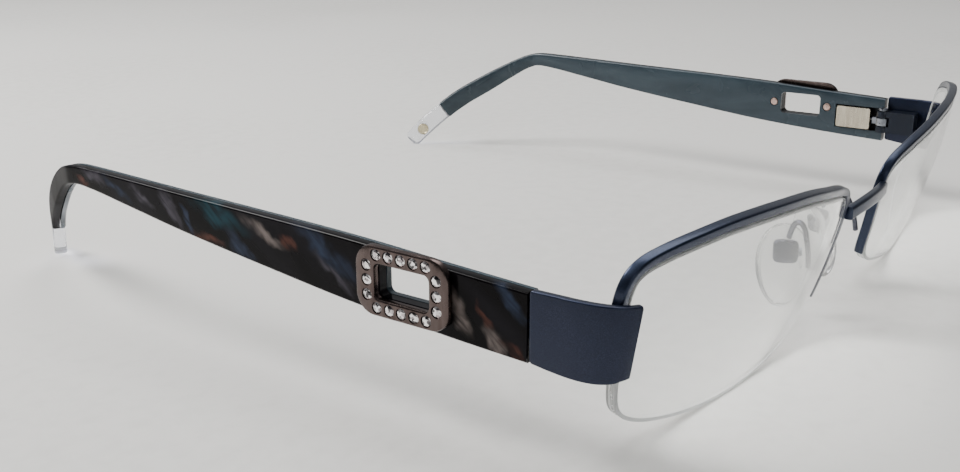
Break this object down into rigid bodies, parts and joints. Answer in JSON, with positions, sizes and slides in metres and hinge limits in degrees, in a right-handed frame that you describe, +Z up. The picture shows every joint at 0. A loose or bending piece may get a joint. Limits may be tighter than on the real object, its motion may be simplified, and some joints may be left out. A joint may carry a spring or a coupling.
{
  "type": "eyeglasses",
  "caption": "Semi-rimless spectacles: navy brow rims over corded clear lenses, soft nose pads, marbled acetate temples on sprung hinges with jewelled buckles.",
  "frame": {"origin": "bottom centre of the open glasses, on the table they stand on", "axes": "+X to the wearer's left, -Y out of the front of the lenses, temples back along +Y, +Z up"},
  "size_m": [0.142, 0.1345, 0.0285],
  "materials": {
    "rim_paint": "satin navy pearl lacquer",
    "endpiece_paint": "satin navy pearl lacquer with a fine grain",
    "hinge_paint": "dark navy lacquer",
    "hinge_steel": "turned steel",
    "arm_metal": "satin plated nickel silver",
    "cover_plate": "champagne plating, brushed",
    "marbled_acetate": "polished near-black acetate with pearl swirls",
    "lining_acetate": "slate teal acetate, softly polished",
    "clear_acetate": "clear acetate",
    "tip_disc": "pale gilt, plain",
    "gunmetal": "polished brownish gunmetal",
    "pin_copper": "pinkish copper",
    "crystal": "faceted clear stones on a silvery bed",
    "lens_resin": "clear demonstration resin",
    "nylon": "clear nylon",
    "pad_silicone": "clear soft silicone"
  },
  "bodies": {
    "front": {"bridge": "rim_paint", "right_brow_rim": "rim_paint", "right_rim_liner": "nylon", "right_lens": "lens_resin", "right_lens_cord": "nylon", "right_endpiece": "endpiece_paint", "right_hinge_leaf": "hinge_paint", "right_pad_arm": "arm_metal", "right_pad_box": "arm_metal", "right_pad_screw": "hinge_steel", "left_brow_rim": "rim_paint", "left_rim_liner": "nylon", "left_lens": "lens_resin", "left_lens_cord": "nylon", "left_endpiece": "endpiece_paint", "left_hinge_leaf": "hinge_paint", "left_pad_arm": "arm_metal", "left_pad_box": "arm_metal", "left_pad_screw": "hinge_steel"},
    "right_screw": {"right_hinge_screw": "hinge_steel"},
    "right_eye": {"right_hinge_eye": "hinge_steel", "right_hinge_spring": "hinge_steel"},
    "right_temple": {"right_temple_shell": "marbled_acetate", "right_temple_lining": "lining_acetate", "right_temple_tip": "clear_acetate", "right_tip_disc": "tip_disc", "right_buckle": "gunmetal", "right_buckle_pin_front": "pin_copper", "right_buckle_pin_rear": "pin_copper", "right_crystals": "crystal", "right_spring_housing": "cover_plate"},
    "right_pad": {"right_nose_pad": "pad_silicone"},
    "left_screw": {"left_hinge_screw": "hinge_steel"},
    "left_eye": {"left_hinge_eye": "hinge_steel", "left_hinge_spring": "hinge_steel"},
    "left_temple": {"left_temple_shell": "marbled_acetate", "left_temple_lining": "lining_acetate", "left_temple_tip": "clear_acetate", "left_tip_disc": "tip_disc", "left_buckle": "gunmetal", "left_buckle_pin_front": "pin_copper", "left_buckle_pin_rear": "pin_copper", "left_crystals": "crystal", "left_spring_housing": "cover_plate"},
    "left_pad": {"left_nose_pad": "pad_silicone"}
  },
  "joints": [
    {"name": "right_temple_fold", "type": "hinge", "parent": "front", "child": "right_screw", "pos_m": [-0.0666, -0.0474, 0.0167], "axis": [0, 0, -1], "range_deg": [0, 78]},
    {"name": "right_temple_flex", "type": "hinge", "parent": "right_screw", "child": "right_eye", "pos_m": [-0.0666, -0.0474, 0.0167], "axis": [0, 0, -1], "range_deg": [-10, 0], "stiffness_Nm_per_rad": 0.3},
    {"name": "right_spring_travel", "type": "slide", "parent": "right_eye", "child": "right_temple", "axis": [0.0187, 0.9998, 0], "range_m": [0, 0.00062], "deforming": ["right_hinge_spring"]},
    {"name": "right_pad_tilt", "type": "hinge", "parent": "front", "child": "right_pad", "pos_m": [-0.0093, -0.0556, 0.0108], "axis": [0.4067, -0.9135, 0], "range_deg": [-8, 8]},
    {"name": "left_temple_fold", "type": "hinge", "parent": "front", "child": "left_screw", "pos_m": [0.0666, -0.0474, 0.0167], "axis": [0, 0, 1], "range_deg": [0, 86]},
    {"name": "left_temple_flex", "type": "hinge", "parent": "left_screw", "child": "left_eye", "pos_m": [0.0666, -0.0474, 0.0167], "axis": [0, 0, 1], "range_deg": [-10, 0], "stiffness_Nm_per_rad": 0.3},
    {"name": "left_spring_travel", "type": "slide", "parent": "left_eye", "child": "left_temple", "axis": [-0.0187, 0.9998, 0], "range_m": [0, 0.00062], "deforming": ["left_hinge_spring"]},
    {"name": "left_pad_tilt", "type": "hinge", "parent": "front", "child": "left_pad", "pos_m": [0.0093, -0.0556, 0.0108], "axis": [-0.4067, -0.9135, 0], "range_deg": [-8, 8]}
  ],
  "couplings": [
    {"joint": "right_spring_travel", "follows": "right_temple_flex", "m_per_rad": -0.00344},
    {"joint": "left_spring_travel", "follows": "left_temple_flex", "m_per_rad": -0.00344}
  ]
}
